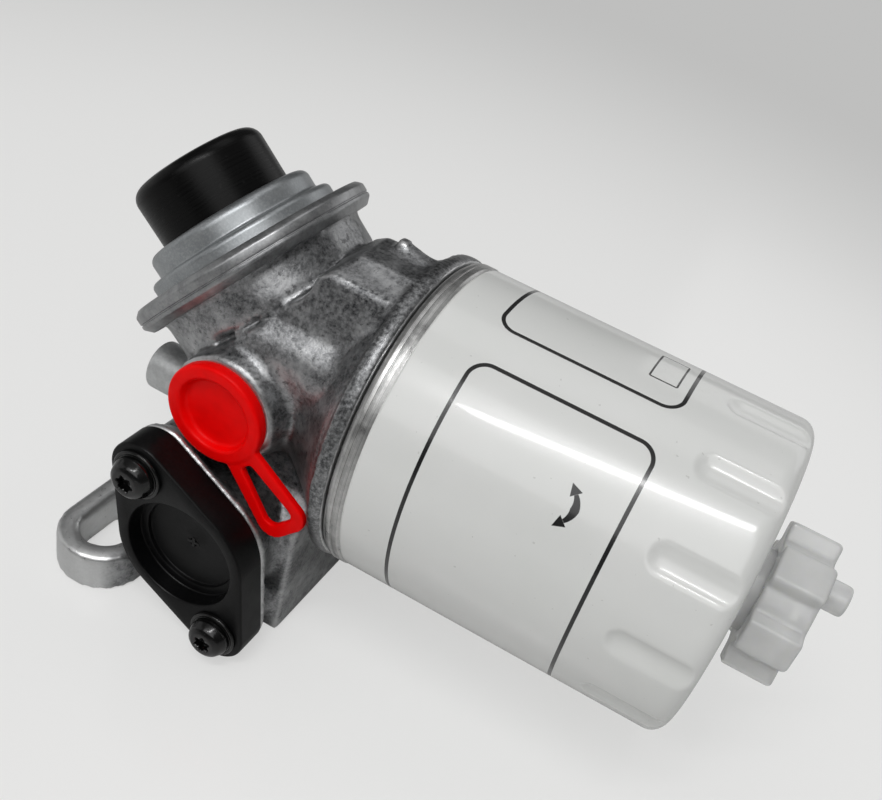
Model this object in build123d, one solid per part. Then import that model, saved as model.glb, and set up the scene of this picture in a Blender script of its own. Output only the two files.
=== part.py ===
from build123d import *
import os
from math import cos, pi, radians, sin

# Diesel pre-filter: a cast filter head with a hand primer pump, and a spin-on canister with a
# drain valve at its end.
# Millimetres. +Z is the outward direction of the mounting face at z = 0, +X runs along the
# canister towards the drain, and -Y is the side of the fuel inlet and the heater cover.
# The origin is midway between the two lug slots, on the mounting face.

# Places of the main axes
joint_x = 71.5           # lug slots to the face that the canister seals on
axis_z = 76.0            # mounting face to the canister's axis
pump_x = 41.65           # where the pump's axis meets the canister's axis
pump_tilt = 49.9         # pump's axis from vertical, leaning away from the canister
port_x = 32.5            # fuel ports, at the height of the canister's axis
cover_x = 34.3           # heater cover's centre
cover_z = 32.6

# Clearances
fit_gap = 0.03           # between pieces that are pushed or screwed together
running_gap = 0.06       # between a turning thread and its bore
moving_gap = 0.3         # between pieces that move past each other

# Head casting
rim_r = 47.5
rim_length = 4.6
neck_r = 43.0            # behind the rim
barrel_r = 26.0
barrel_length = 62.0     # sealing face to the closed end of the barrel
dirty_r = 33.0           # annular fuel recess in the sealing face
dirty_depth = 10.0
pedestal_from = 12.0
pedestal_to = 59.4
pedestal_half = 34.3     # half width of the block on the foot
pedestal_top = 41.0
web_half = 24.0          # half width of the block under the barrel
web_from = 50.0
foot_thick = 13.6
lug_r = 14.3
slot_r = 7.5
slot_length = 28.0
slot_spacing = 70.8      # centre to centre of the two lug slots

# Block on top of the barrel: a long facet, a raised flat and a small peak
block_from = 44.0
block_low = 95.0
wall_foot_y = -28.0
ridge_y = -19.5
ridge_z = 119.0
flat_from_y = -11.0
flat_to_y = 4.5
flat_z = 122.3
flat_step = 1.3
slope_y = 13.0           # behind the flat
slope_z = 115.0
slope_foot_y = 24.0
slant_z = 116.4          # where the slanted end starts
slant_x = 51.6
peak_from_x = 55.2
peak_to_x = 65.4
peak_z = 126.0
peak_low_z = 122.8
peak_near_y = -0.8
peak_thick = 4.0

# Fuel ports
port_r = 15.8
port_height = 11.7       # barrel's side to the port's face
port_bore_r = 10.4
port_bore_depth = 23.0
passage_r = 6.5
small_passage_r = 3.5

# Side plug
plug_y = -14.0
plug_z = 59.0
plug_r = 7.7
plug_length = 14.0
plug_stand = 0.5         # barrel's closed end to the plug's seat
plug_shank_r = 6.0
plug_shank_length = 10.0
plug_boss_wall = 1.0
plug_boss_length = 16.0

# Pump, heights along its own axis from the canister's axis
housing_r = 31.5
housing_top = 37.2
housing_ledge = 23.3     # lower edge of the housing's round wall
housing_step = 2.5       # ledge's width
housing_foot = -12.0
lip_width = 2.0
lip_height = 3.0
chamber_wall = 5.5
chamber_floor = 16.0
diaphragm_thick = 1.5
pump_cover_wall = 1.5
pump_cover_flange = 1.0
shoulder_inset = 4.5     # from the housing's lip in to the cover's shoulder
shoulder_top = 44.5
step_inset = 3.5         # from the shoulder in to the upper step
step_top = 51.0
ring_width = 3.9         # from the lip out to the clamp ring's edge
ring_lip = 0.8
button_inset = 5.5       # from the upper step in to the button
button_top = 68.0
button_wall = 2.0
button_flange = 2.0
plunger_r = 5.0
plate_inset = 8.0        # from the chamber's wall in to the plunger's plate
plate_thick = 2.0
pump_wire_r = 1.1
pump_coil_r = 11.0
pump_turns = 6
valve_r = 5.5
valve_thick = 1.6
valve_stem = 2.0
valve_well = 3.0
inlet_valve_place = (-4.6, -18.0)      # across the pump's axis
outlet_valve_place = (17.9, 0.0)

# Heater cover, seen from the front
cover_face = 53.0        # axis plane to the cover's outer face
cover_thick = 10.0
cover_r = 21.2
lobe_r = 9.5
screw_dx = 15.0          # from the cover's centre to a screw
screw_dz = 22.4
recess_r = 17.5
recess_depth = 5.5
disc_r = 14.9
disc_depth = 1.5
mark_r = 1.3
mark_depth = 0.6
pad_thick = 2.5
boss_inset = 0.7         # from the pad's round middle in to the boss behind it
tap_boss_r = 7.0
heater_r = 13.0
heater_depth = 23.0
seal_r = 16.4
seal_wire_r = 0.9

# Screws of the heater cover
screw_r = 3.0
screw_length = 18.0
head_r = 6.3
head_height = 4.6
socket_r = 2.7
socket_depth = 2.4
washer_r = 7.6
washer_thick = 1.4

# Inlet plug
cap_r = 14.9
cap_thick = 3.8
cap_recess_r = 11.0
cap_recess_depth = 2.4
sleeve_length = 7.0
sleeve_wall = 1.4
tab_thick = 2.2
tab_length = 24.0        # plug's rim to the far end of the tab
tab_near = 11.5          # width where the tab leaves the plug
tab_far = 18.5
tab_band = 3.9           # width of the strip round the tab's opening
tab_angle = -43.0        # of the tab, from +X towards +Z

# Canister, lengths along its axis from the sealing face
can_r = 47.0
can_wall = 0.9
can_from = 5.9
can_end = 103.5
can_corner = 5.0
dish_r = 31.0
dish_depth = 2.5
flute_count = 12
flute_first = 4.0        # angle of one flute from -Y towards +Z
flute_from = 83.3
flute_to = 101.5
flute_depth = 1.6
flute_r = 6.5
seam_gap = 0.3
seam_r = 47.3
seam_inner_r = 44.5
gasket_r = 40.75         # middle of the gasket
gasket_width = 6.4
gasket_thick = 3.2
lid_wall = 1.0
lid_hole_r = 31.0
plate_from = 4.2         # tapping plate
tapping_thick = 5.0
inlet_hole_r = 3.5
inlet_hole_count = 8
inlet_circle_r = 24.5
nipple_r = 10.0
nipple_bore_r = 6.5
nipple_in_head = 16.0
nipple_in_can = 13.5

# Filter element
element_from = 15.0
element_to = 88.0
cap_wall = 1.2
media_r = 40.0
media_valley_r = 26.0
pleats = 36
tube_r = 13.5
tube_wall = 0.8
tube_hole_r = 2.5
cap_skirt = 4.0          # rim of each end cap
spring_slot_width = 16.0
spring_slot_reach = 12.0
spring_foot_r = 27.0
spring_wall = 0.8

# Drain valve
drain_hole_r = 11.0
socket_flange_r = 17.0
socket_flange = 2.5
stub_r = 12.0
stub_length = 7.0        # drain socket, past the knob's near face
drain_bore_r = 4.5
knob_from = 109.0
knob_to = 123.5
lobe_count = 6
lobe_first = 5.0         # angle of one lobe from -Y towards +Z
knob_lobe_r = 21.3
knob_valley_r = 17.0
lobe_width = 10.6
ring_seal_r = 8.0
ring_seal_width = 4.0
ring_seal_thick = 2.2
nozzle_r = 4.5
nozzle_bore_r = 2.2
nozzle_length = 8.0
nozzle_offset = 8.0
nozzle_angle = 128.0     # of the hose nozzle, from -Y towards +Z

plug_seat_x = joint_x - barrel_length - plug_stand

# Planes whose own +Z is each main axis
can_line = Plane(origin=(joint_x, 0, axis_z), x_dir=(0, -1, 0), z_dir=(1, 0, 0))
pump_line = Plane(
    origin=(pump_x, 0, axis_z),
    x_dir=(cos(radians(pump_tilt)), 0, sin(radians(pump_tilt))),
    z_dir=(-sin(radians(pump_tilt)), 0, cos(radians(pump_tilt))),
)
inlet_line = Plane(origin=(port_x, 0, axis_z), x_dir=(1, 0, 0), z_dir=(0, -1, 0))
outlet_line = Plane(origin=(port_x, 0, axis_z), x_dir=(-1, 0, 0), z_dir=(0, 1, 0))
cover_line = Plane(origin=(cover_x, 0, cover_z), x_dir=(1, 0, 0), z_dir=(0, -1, 0))
side_line = Plane(origin=(plug_seat_x, plug_y, plug_z), z_dir=(-1, 0, 0))

port_face = barrel_r + port_height
boss_r = cover_r - boss_inset
lip_r = housing_r + lip_width
ring_r = lip_r + ring_width
chamber_r = housing_r - chamber_wall
plate_r = chamber_r - plate_inset
shoulder_r = lip_r - shoulder_inset
step_r = shoulder_r - step_inset
button_r = step_r - button_inset
lip_bottom = housing_top - lip_height
diaphragm_top = housing_top + diaphragm_thick
flange_top = diaphragm_top + pump_cover_flange
pad_face = cover_face - cover_thick
pad_back = pad_face - pad_thick
screw_places = [(-screw_dx, screw_dz), (screw_dx, -screw_dz)]
tapping_end = plate_from + tapping_thick
stub_end = knob_from + stub_length
can_inner_end = can_end - can_wall
dish_face = can_end - dish_depth


def outline(*corners):
    """Closed outline through (x, y) corners; a third number rounds that corner."""
    face = make_face(Polyline(*[corner[:2] for corner in corners], close=True))
    for corner in corners:
        if len(corner) == 3:
            nearest = face.vertices().sort_by_distance((corner[0], corner[1]))[0]
            face = fillet(nearest, corner[2])
    return face


def turned(*corners):
    """Solid turned about Z from corners given as (radius, height)."""
    return revolve(Plane.XZ * outline(*corners), Axis.Z)


def bar(radius, low, high):
    """Round bar about Z between two heights."""
    return Pos(0, 0, low) * Cylinder(radius, high - low, align=(Align.CENTER, Align.CENTER, Align.MIN))


def tube(outer, inner, low, high):
    """Round tube about Z between two heights."""
    return bar(outer, low, high) - bar(inner, low, high)


def around(count, first, shape):
    """Copies of a shape about Z, counted from -Y towards +Z on the canister's plane."""
    return [Rot(0, 0, first + 360 / count * index) * shape for index in range(count)]


def cover_outline(middle_r, end_r):
    """Outline of the heater cover: a round middle and a lobe at each screw."""
    circles = [Circle(middle_r)] + [Pos(*place) * Circle(end_r) for place in screw_places]
    return make_hull((Sketch() + circles).edges())


def foot():
    """Mounting foot with a slotted lug at each end."""
    reach = slot_spacing / 2 + slot_length / 2 - slot_r
    lugs = SlotCenterToCenter(2 * reach, 2 * lug_r, rotation=90)
    web = Pos((pedestal_to - lug_r) / 2, 0) * RectangleRounded(pedestal_to + lug_r, 2 * pedestal_half, 1.5)
    slot = SlotOverall(slot_length, 2 * slot_r, rotation=90)
    slots = [Pos(0, side * slot_spacing / 2) * slot for side in (-1, 1)]
    plate = extrude(lugs + web - slots, foot_thick)
    return fillet(plate.edges().group_by(Axis.Z)[-1], 0.8)


def pedestal():
    """Block on the foot that narrows to a web under the barrel."""
    section = outline(
        (-pedestal_half, foot_thick / 2),
        (pedestal_half, foot_thick / 2),
        (pedestal_half - 0.8, pedestal_top, 3),
        (web_half, web_from, 3),
        (web_half - 2, axis_z),
        (2 - web_half, axis_z),
        (-web_half, web_from, 3),
        (0.8 - pedestal_half, pedestal_top, 3),
    )
    start = Plane(origin=(pedestal_from, 0, 0), x_dir=(0, 1, 0), z_dir=(1, 0, 0))
    return extrude(start * section, pedestal_to - pedestal_from)


def top_block():
    """Block between the pump housing and the rim, with a slanted end and a small peak."""
    rim_x = joint_x - rim_length / 2
    section = outline(
        (wall_foot_y, block_low),
        (slope_foot_y, block_low),
        (slope_y, slope_z, 4),
        (flat_to_y, flat_z, 2),
        (flat_from_y, flat_z, 0.6),
        (flat_from_y - 0.6, flat_z - flat_step, 0.4),
        (ridge_y, ridge_z, 2.5),
    )
    side = outline(
        (block_from, block_low - 1),
        (rim_x, block_low - 1),
        (rim_x, flat_z + 1),
        (slant_x, flat_z + 1, 2),
        (block_from, slant_z),
    )
    start = Plane(origin=(block_from - 1, 0, 0), x_dir=(0, 1, 0), z_dir=(1, 0, 0))
    block = extrude(start * section, rim_x - block_from + 1)
    block &= extrude(Plane.XZ * side, 2 * rim_r, both=True)
    peak = outline(
        (peak_from_x, flat_z - 4),
        (rim_x, flat_z - 4),
        (rim_x, flat_z),
        (peak_to_x, peak_low_z, 2),
        (peak_from_x, peak_z, 1),
    )
    peak_line = Plane(origin=(0, peak_near_y, 0), x_dir=(1, 0, 0), z_dir=(0, -1, 0))
    return block + extrude(peak_line * peak, -peak_thick)


def barrel():
    """Round body that flares to the rim."""
    flare_r = barrel_r + 0.65 * (neck_r - barrel_r)
    waist_r = barrel_r + 0.13 * (neck_r - barrel_r)
    round_body = can_line * turned(
        (0, 0),
        (rim_r, 0, 0.8),
        (rim_r, -rim_length, 1.2),
        (neck_r, -rim_length - 0.8, 0.5),
        (neck_r - 0.6, -rim_length - 2.6, 3),
        (flare_r, -rim_length - 8, 8),
        (waist_r, -rim_length - 19, 12),
        (barrel_r, -rim_length - 29, 12),
        (barrel_r, -barrel_length, 6),
        (0, -barrel_length),
    )
    return round_body - pump_line * bar(2 * housing_r, lip_bottom - 2, 3 * housing_r)


def pump_housing():
    """Round cup of the pump, with a ledge under its wall and a lip at its mouth."""
    waist_r = housing_r - housing_step
    return pump_line * turned(
        (0, housing_foot),
        (waist_r - 1, housing_foot),
        (waist_r, housing_ledge - 0.6, 0.5),
        (housing_r, housing_ledge, 0.8),
        (housing_r, lip_bottom),
        (lip_r, lip_bottom),
        (lip_r, housing_top),
        (0, housing_top),
    )


def head_casting():
    """Cast filter head: barrel and rim, pump housing, ports, cover pad, pedestal and foot."""
    port = turned((0, 8), (port_r, 8), (port_r, port_face, 0.8), (0, port_face))
    pad = Pos(0, 0, pad_back) * extrude(cover_outline(cover_r, lobe_r), pad_thick)
    boss = bar(boss_r, 0, pad_back)
    tap_bosses = [Pos(*place) * bar(tap_boss_r, web_half - 8, pad_back) for place in screw_places]
    plug_boss = side_line * bar(plug_r + plug_boss_wall, -plug_boss_length, 0)
    solid = barrel() + pump_housing() + foot() + pedestal() + top_block() + plug_boss
    solid += [inlet_line * port, outlet_line * port]
    solid += cover_line * (pad + boss + tap_bosses)
    return solid - canister_cuts() - port_cuts() - cover_cuts() - valve_cuts()


def canister_cuts():
    """Fuel recess, nipple hole and return passage behind the canister, the pump's chamber,
    and the side plug's hole with its spot face."""
    return [
        can_line * tube(dirty_r, nipple_r + 4, -dirty_depth, 1),
        can_line * bar(nipple_r + fit_gap, -nipple_in_head, 1),
        can_line * bar(passage_r, port_x - joint_x, 1),
        pump_line * bar(chamber_r, chamber_floor, housing_top + 1),
        side_line * bar(plug_shank_r + fit_gap, -plug_shank_length, 0),
        side_line * bar(plug_r + moving_gap, 0, plug_length + plug_stand),
    ]


def port_cuts():
    """Bores of the two fuel ports."""
    bore = bar(port_bore_r, port_face - port_bore_depth, port_face + 1)
    return [inlet_line * bore, outlet_line * (bore + bar(passage_r, 0, port_face))]


def cover_cuts():
    """Heater's well, seal groove and tapped holes in the cover's pad."""
    half = seal_wire_r + 0.1
    groove = tube(seal_r + half, seal_r - half, pad_face - 2 * seal_wire_r, pad_face + 1)
    cuts = [bar(heater_r, pad_face - heater_depth, pad_face + 1), groove]
    tapped = bar(screw_r + fit_gap, cover_face - screw_length - 2, pad_face + 1)
    cuts += [Pos(*place) * tapped for place in screw_places]
    return [cover_line * cut for cut in cuts]


def valve_cuts():
    """Wells of the two check valves and the passages that they open."""
    well = bar(valve_r + 0.2, chamber_floor - valve_well, chamber_floor + 1)
    wells = [pump_line * Pos(*place) * well for place in (inlet_valve_place, outlet_valve_place)]
    rise = pump_line * Pos(*inlet_valve_place) * bar(small_passage_r, 3, chamber_floor)
    outlet_x, outlet_z = outlet_passage_point()
    run_line = Plane(origin=(outlet_x, 0, outlet_z), z_dir=(1, 0, 0))
    return wells + [rise, run_line * bar(small_passage_r, 0, joint_x - outlet_x)]


def outlet_passage_point():
    """X and Z where the passage to the canister leaves the outlet valve's well."""
    height = chamber_floor - valve_well
    across = outlet_valve_place[0]
    tilt = radians(pump_tilt)
    return (
        pump_x - sin(tilt) * height + cos(tilt) * across,
        axis_z + cos(tilt) * height + sin(tilt) * across,
    )


def check_valve(place):
    """Mushroom valve that rests on the floor of its well."""
    valve = turned(
        (0, 0),
        (valve_r, 0),
        (valve_r, valve_thick, 0.5),
        (2, valve_thick),
        (1.5, valve_thick + valve_stem, 0.4),
        (0, valve_thick + valve_stem),
    )
    return pump_line * Pos(*place, chamber_floor - valve_well) * valve


def side_plug():
    """Plain round plug in the drilling at the closed end."""
    plug = turned(
        (0, 0),
        (plug_r, 0),
        (plug_r, plug_length, 0.8),
        (0, plug_length),
    )
    shank = bar(plug_shank_r, -plug_shank_length, 0)
    return side_line * (plug + shank)


def canister_nipple():
    """Hollow threaded stud that the canister screws on."""
    return can_line * turned(
        (nipple_bore_r, -nipple_in_head),
        (nipple_r, -nipple_in_head),
        (nipple_r, nipple_in_can - 1),
        (nipple_r - 1, nipple_in_can),
        (nipple_bore_r, nipple_in_can),
    )


def clamp_ring():
    """Ring rolled over the housing's lip, the diaphragm and the pump cover."""
    bottom = lip_bottom - 0.1 - ring_lip
    inner = lip_r + 0.3
    return pump_line * turned(
        (housing_r + 0.4, bottom),
        (ring_r - 1.9, bottom, 0.6),
        (ring_r, bottom + 1.9, 0.8),
        (ring_r, flange_top - 0.8, 0.8),
        (ring_r - 1.6, flange_top + ring_lip, 0.6),
        (lip_r - 0.9, flange_top + ring_lip),
        (lip_r - 0.9, flange_top),
        (inner, flange_top),
        (inner, bottom + ring_lip),
        (housing_r + 0.4, bottom + ring_lip),
    )


def pump_diaphragm():
    """Rubber disc clamped at its edge, with a rolled fold."""
    fold_r = (plate_r + chamber_r) / 2
    return pump_line * turned(
        (0, housing_top),
        (fold_r - 2, housing_top),
        (fold_r - 1.5, housing_top - 2, 0.8),
        (fold_r + 1.5, housing_top - 2, 0.8),
        (fold_r + 2, housing_top),
        (lip_r, housing_top),
        (lip_r, diaphragm_top),
        (fold_r + 0.9, diaphragm_top),
        (fold_r + 0.5, housing_top - 0.6),
        (fold_r - 0.5, housing_top - 0.6),
        (fold_r - 0.9, diaphragm_top),
        (0, diaphragm_top),
    )


def pump_cover():
    """Pressed cover in two steps, open in the middle for the button."""
    wall = pump_cover_wall
    return pump_line * turned(
        (lip_r, diaphragm_top),
        (lip_r, flange_top),
        (shoulder_r, flange_top, 0.6),
        (shoulder_r, shoulder_top, 2.6),
        (step_r, shoulder_top, 0.7),
        (step_r, step_top, 2.5),
        (button_r + moving_gap, step_top),
        (button_r + moving_gap, step_top - wall),
        (step_r - wall, step_top - wall, 1),
        (step_r - wall, shoulder_top - wall),
        (shoulder_r - wall, shoulder_top - wall, 0.5),
        (shoulder_r - wall, diaphragm_top),
    )


def pump_button():
    """Hollow push button with a stop flange under the cover."""
    stop = step_top - pump_cover_wall - moving_gap
    return pump_line * turned(
        (0, button_top),
        (button_r, button_top, 4),
        (button_r, stop),
        (button_r + 2, stop),
        (button_r + 2, stop - button_flange),
        (button_r - button_wall, stop - button_flange),
        (button_r - button_wall, button_top - button_wall, 3),
        (0, button_top - button_wall),
    )


def pump_plunger():
    """Rod from the button to the plate that pushes the diaphragm."""
    return pump_line * turned(
        (0, diaphragm_top),
        (plate_r, diaphragm_top, 0.5),
        (plate_r, diaphragm_top + plate_thick, 0.5),
        (plunger_r, diaphragm_top + plate_thick, 1),
        (plunger_r, button_top - button_wall),
        (0, button_top - button_wall),
    )


def pump_spring():
    """Coil spring under the diaphragm."""
    height = housing_top - chamber_floor - 2 * pump_wire_r
    path = Helix(height / pump_turns, height, pump_coil_r)
    section = Plane(origin=path @ 0, z_dir=path % 0) * Circle(pump_wire_r)
    return pump_line * Pos(0, 0, chamber_floor + pump_wire_r) * sweep(section, path, is_frenet=True)


def heater_cover():
    """Black two-screw cover with a stepped recess."""
    cover = Pos(0, 0, pad_face) * extrude(cover_outline(cover_r, lobe_r), cover_thick)
    cover = chamfer(cover.faces().sort_by(Axis.Z)[-1].outer_wire().edges(), 0.5)
    floor = cover_face - recess_depth
    cover -= bar(recess_r, floor, cover_face + 1)
    cover -= bar(disc_r, floor - disc_depth, cover_face)
    cover -= bar(mark_r, floor - disc_depth - mark_depth, cover_face)
    for place in screw_places:
        cover -= Pos(*place) * bar(screw_r + moving_gap, pad_face - 1, cover_face + 1)
    return cover_line * cover


def cover_seal():
    """O-ring in the pad's groove."""
    return cover_line * Pos(0, 0, pad_face - seal_wire_r) * Torus(seal_r, seal_wire_r)


def cover_screw(place):
    """Pan-head screw with a six-lobed socket."""
    seat = cover_face + washer_thick
    head = turned(
        (0, 0),
        (head_r, 0),
        (head_r, 1.6, 0.5),
        (head_r - 1.6, head_height, 1.5),
        (0, head_height),
    )
    lobe = Pos(socket_r - 0.8, 0) * Circle(0.8)
    lobes = Sketch() + [Rot(0, 0, 60 * index) * lobe for index in range(6)]
    socket = extrude(Circle(socket_r - 0.6) + lobes, socket_depth + 1)
    head -= Pos(0, 0, head_height - socket_depth) * socket
    shank = bar(screw_r, cover_face - screw_length - seat, 0)
    return cover_line * Pos(*place, seat) * (head + shank)


def cover_washers():
    """The two washers under the screw heads."""
    washer = tube(washer_r, screw_r + moving_gap, cover_face, cover_face + washer_thick)
    return cover_line * Compound([Pos(*place) * washer for place in screw_places])


def inlet_plug():
    """Soft plug in the inlet port, with its pull tab."""
    front = port_face + cap_thick
    cap = turned(
        (0, port_face),
        (cap_r, port_face, 0.5),
        (cap_r, front, 0.9),
        (cap_recess_r, front, 0.6),
        (cap_recess_r - 0.8, front - cap_recess_depth, 0.6),
        (0, front - cap_recess_depth),
    )
    sleeve_r = port_bore_r - running_gap
    sleeve = tube(sleeve_r, sleeve_r - sleeve_wall, port_face - sleeve_length, port_face)
    start = cap_r - 2.5
    end = cap_r + tab_length
    loop = outline(
        (start, -tab_near / 2),
        (end, -tab_far / 2, 5),
        (end, tab_far / 2, 5),
        (start, tab_near / 2),
    )
    inside = outline(
        (cap_r + 1.5, -tab_near / 2 + tab_band, 1),
        (end - tab_band, -tab_far / 2 + tab_band, 2.5),
        (end - tab_band, tab_far / 2 - tab_band, 2.5),
        (cap_r + 1.5, tab_near / 2 - tab_band, 1),
    )
    tab = Pos(0, 0, front - tab_thick - 0.4) * extrude(loop - inside, tab_thick)
    return inlet_line * (cap + sleeve + Rot(0, 0, tab_angle) * tab)


def can_body(radius, end, corner, dish_at, low):
    """Solid form of the canister, flutes apart; used for its outside and its inside."""
    return turned(
        (0, low),
        (radius, low),
        (radius, end, corner),
        (dish_r + 3, end, 1.5),
        (dish_r, dish_at, 1.5),
        (0, dish_at),
    )


def flute_tools(grow):
    """Round-ended bars that press the grip flutes into the canister's wall."""
    radius = flute_r + grow
    tool = Pos(0, 0, flute_from) * bar(radius, 0, flute_to - flute_from)
    tool += Pos(0, 0, flute_from) * Sphere(radius)
    tool += Pos(0, 0, flute_to) * Sphere(radius)
    reach = can_r + flute_r - flute_depth
    return around(flute_count, -flute_first, Pos(reach, 0, 0) * tool)


def can_shell():
    """Drawn steel canister with pressed flutes and a dished end."""
    outside = can_body(can_r, can_end, can_corner, dish_face, can_from) - flute_tools(0)
    inner_r = can_r - can_wall
    inside = can_body(inner_r, can_inner_end, can_corner - can_wall, dish_face - can_wall, can_from)
    shell = outside - (inside - flute_tools(can_wall))
    shell -= bar(drain_hole_r, dish_face - 5, can_end)
    return can_line * shell


def seaming_lid():
    """Sheet lid over the tapping plate, rolled over the canister's mouth."""
    lip_at = gasket_r - gasket_width / 2 - moving_gap
    sheet = plate_from - lid_wall
    return can_line * turned(
        (lid_hole_r, plate_from),
        (lid_hole_r, sheet),
        (lip_at - 1, sheet),
        (lip_at - 1, 1.4),
        (lip_at, 1.4),
        (lip_at, sheet),
        (seam_inner_r, sheet),
        (seam_inner_r, seam_gap, 0.5),
        (seam_r, seam_gap, 1.2),
        (seam_r, can_from, 0.8),
        (seam_inner_r, can_from),
        (seam_inner_r, plate_from),
    )


def tapping_plate():
    """Thick plate with the canister's thread and a ring of fuel holes."""
    plate = bar(seam_inner_r - 0.3, plate_from, tapping_end)
    plate -= bar(nipple_r + running_gap, plate_from - 1, tapping_end + 1)
    holes = Pos(inlet_circle_r, 0) * bar(inlet_hole_r, plate_from - 1, tapping_end + 1)
    plate -= around(inlet_hole_count, 0, holes)
    return can_line * plate


def canister_gasket():
    """Flat rubber ring between the lid and the head."""
    half = gasket_width / 2
    return can_line * tube(gasket_r + half, gasket_r - half, 0, gasket_thick)


def filter_media():
    """Pleated paper star between the end caps."""
    points = []
    for index in range(pleats):
        for radius, step in ((media_r, 0.0), (media_valley_r, 0.5)):
            angle = 2 * pi * (index + step) / pleats
            points.append((radius * cos(angle), radius * sin(angle)))
    star = make_face(Polyline(*points, close=True)) - Circle(tube_r + 1)
    low = element_from + cap_wall
    return can_line * Pos(0, 0, low) * extrude(star, element_to - element_from - 2 * cap_wall)


def centre_tube():
    """Perforated tube inside the pleats."""
    low = element_from + cap_wall
    high = element_to - cap_wall
    pipe = tube(tube_r, tube_r - tube_wall, low, high)
    cutter = Rot(0, 90, 0) * Cylinder(tube_hole_r, 3 * tube_r)
    rows = 5
    for row in range(rows):
        height = low + (high - low) * (row + 0.5) / rows
        pipe -= [Pos(0, 0, height) * Rot(0, 0, 60 * index + 30 * (row % 2)) * cutter for index in range(3)]
    return can_line * pipe


def element_cap_upper():
    """End cap towards the head, open for the nipple."""
    return can_line * turned(
        (nipple_r + 2.5, element_from),
        (media_r + 1.5, element_from),
        (media_r + 1.5, element_from + cap_skirt),
        (media_r + 0.5, element_from + cap_skirt),
        (media_r + 0.5, element_from + cap_wall),
        (nipple_r + 2.5, element_from + cap_wall),
    )


def element_cap_lower():
    """Closed end cap towards the drain."""
    return can_line * turned(
        (0, element_to),
        (media_r + 1.5, element_to),
        (media_r + 1.5, element_to - cap_skirt),
        (media_r + 0.5, element_to - cap_skirt),
        (media_r + 0.5, element_to - cap_wall),
        (0, element_to - cap_wall),
    )


def element_grommet():
    """Rubber ring that seals the element to the tapping plate round the nipple."""
    return can_line * tube(nipple_r + 5, nipple_r + 2, tapping_end, element_from)


def element_spring():
    """Sheet spring with four feet that holds the element towards the head."""
    rest = dish_face - can_wall
    cone = turned(
        (12, element_to),
        (16, element_to),
        (spring_foot_r - 3, rest - spring_wall),
        (spring_foot_r, rest - spring_wall),
        (spring_foot_r, rest),
        (spring_foot_r - 3.4, rest),
        (15.6, element_to + spring_wall),
        (12, element_to + spring_wall),
    )
    gap = Box(2 * spring_slot_reach, spring_slot_width, rest - element_to + 2)
    gap = Pos(spring_foot_r, 0, (element_to + rest) / 2 + 2) * gap
    return can_line * (cone - around(4, 45, gap))


def drain_socket():
    """Threaded bush in the canister's end."""
    return can_line * turned(
        (drain_bore_r, dish_face - 4),
        (drain_hole_r - fit_gap, dish_face - 4),
        (drain_hole_r - fit_gap, dish_face),
        (socket_flange_r, dish_face, 0.6),
        (socket_flange_r, dish_face + socket_flange, 0.6),
        (stub_r, dish_face + socket_flange),
        (stub_r, stub_end, 0.6),
        (drain_bore_r, stub_end),
    )


def drain_seal():
    """Seal ring in the knob's floor."""
    half = ring_seal_width / 2
    return can_line * tube(ring_seal_r + half, ring_seal_r - half, stub_end, stub_end + ring_seal_thick)


def drain_knob():
    """Six-lobed plastic knob with the hose nozzle beside its middle."""
    step = 360 / lobe_count
    depth = knob_lobe_r - knob_valley_r + 4
    lobe = Pos(knob_lobe_r - depth / 2, 0) * RectangleRounded(depth, lobe_width, 0.8)
    lobes = [Rot(0, 0, -lobe_first - step * index) * lobe for index in range(lobe_count)]
    star = Circle(knob_valley_r) + lobes
    knob = Pos(0, 0, knob_from) * extrude(star, knob_to - knob_from)
    knob = chamfer(knob.faces().sort_by(Axis.Z)[-1].outer_wire().edges(), 0.8)
    knob += Rot(0, 0, -nozzle_angle) * Pos(nozzle_offset, 0, 0) * nozzle()
    knob -= bar(stub_r + running_gap, knob_from - 1, stub_end + ring_seal_thick)
    bore = bar(nozzle_bore_r, stub_end + ring_seal_thick - 1, knob_to + nozzle_length + 1)
    knob -= Rot(0, 0, -nozzle_angle) * Pos(nozzle_offset, 0) * bore
    return can_line * knob


def nozzle():
    """Hose nozzle with a small barb."""
    end = knob_to + nozzle_length
    return turned((0, knob_to - 2), (nozzle_r, knob_to - 2), (nozzle_r, end, 0.8), (0, end))


nodes = {
    "head_casting": head_casting(),
    "side_plug": side_plug(),
    "canister_nipple": canister_nipple(),
    "clamp_ring": clamp_ring(),
    "pump_diaphragm": pump_diaphragm(),
    "pump_cover": pump_cover(),
    "pump_button": pump_button(),
    "pump_plunger": pump_plunger(),
    "pump_spring": pump_spring(),
    "inlet_check_valve": check_valve(inlet_valve_place),
    "outlet_check_valve": check_valve(outlet_valve_place),
    "heater_cover": heater_cover(),
    "cover_seal": cover_seal(),
    "cover_screw_upper": cover_screw(screw_places[0]),
    "cover_screw_lower": cover_screw(screw_places[1]),
    "cover_washers": cover_washers(),
    "inlet_plug": inlet_plug(),
    "can_shell": can_shell(),
    "seaming_lid": seaming_lid(),
    "tapping_plate": tapping_plate(),
    "canister_gasket": canister_gasket(),
    "filter_media": filter_media(),
    "centre_tube": centre_tube(),
    "element_cap_upper": element_cap_upper(),
    "element_cap_lower": element_cap_lower(),
    "element_grommet": element_grommet(),
    "element_spring": element_spring(),
    "drain_socket": drain_socket(),
    "drain_seal": drain_seal(),
    "drain_knob": drain_knob(),
}

os.makedirs("parts", exist_ok=True)
for name, shape in nodes.items():
    export_step(shape, f"parts/{name}.step")
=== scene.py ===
import bpy
import bmesh
from math import atan2, cos, pi, radians, sin, sqrt, tan
from mathutils import Matrix, Vector
import numpy as np


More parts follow.
